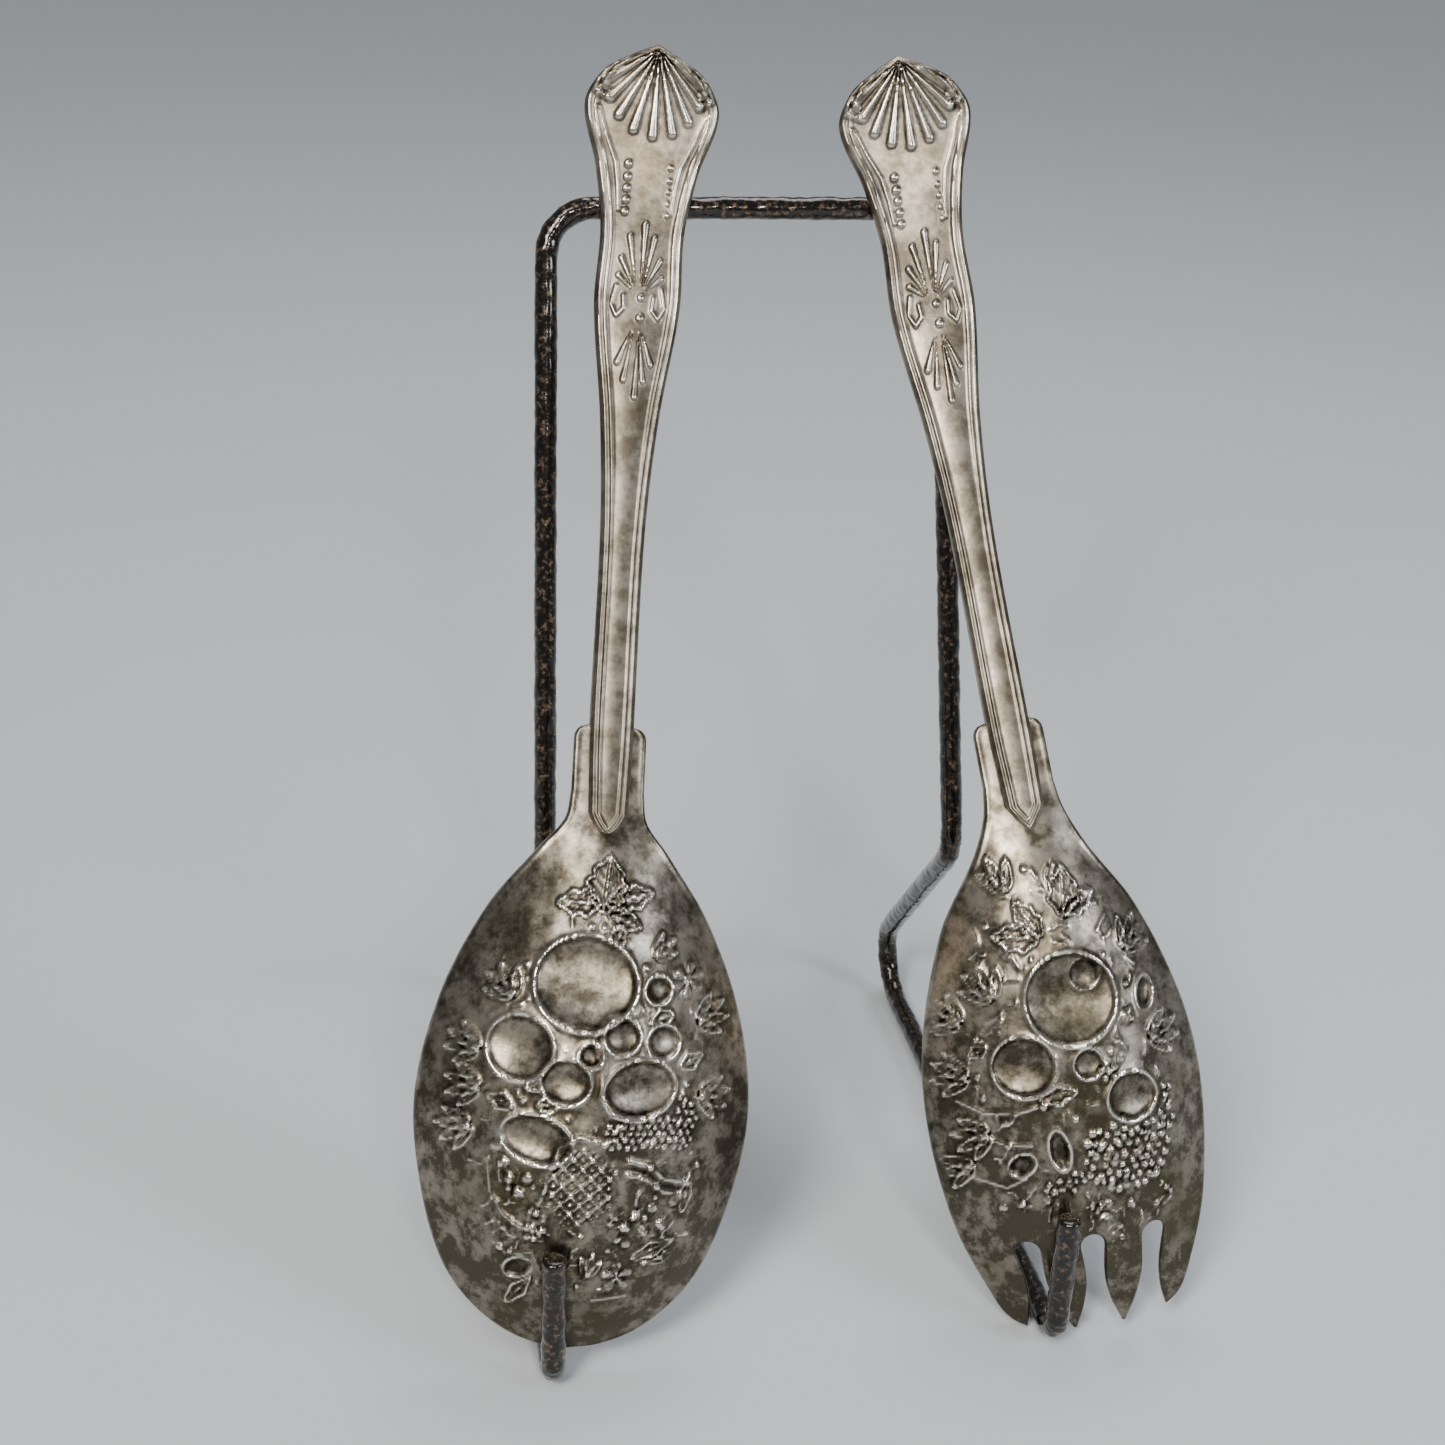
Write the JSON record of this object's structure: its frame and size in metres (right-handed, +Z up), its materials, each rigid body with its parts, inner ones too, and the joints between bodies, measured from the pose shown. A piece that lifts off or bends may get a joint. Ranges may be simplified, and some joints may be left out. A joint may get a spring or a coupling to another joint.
{
  "type": "serving spoon and fork on a wire stand",
  "caption": "Tarnished spoon and four-tine fork servers with embossed fruit bowls and shell handles, leaning side by side in a bent-rod display stand.",
  "frame": {"origin": "on the table, midway between the front corners of the two hooks", "axes": "+X to the right seen from the front, +Y towards the back of the stand, +Z up"},
  "size_m": [0.1413, 0.125, 0.2072],
  "materials": {
    "bronze_painted_rod": "hammered dark bronze paint, glossy and lumpy",
    "tarnished_silver": "tarnished silver plate, warm grey with dark patina in the recesses"
  },
  "bodies": {
    "stand": {"stand_wire": "bronze_painted_rod"},
    "spoon": {"spoon_bowl": "tarnished_silver", "spoon_handle": "tarnished_silver"},
    "fork": {"fork_bowl": "tarnished_silver", "fork_handle": "tarnished_silver"}
  },
  "joints": [
    {"name": "spoon_lift", "type": "slide", "parent": "stand", "child": "spoon", "axis": [0, 0.4194, 0.9078], "range_m": [0, 0.25]},
    {"name": "fork_lift", "type": "slide", "parent": "stand", "child": "fork", "axis": [0, 0.4194, 0.9078], "range_m": [0, 0.25]}
  ]
}
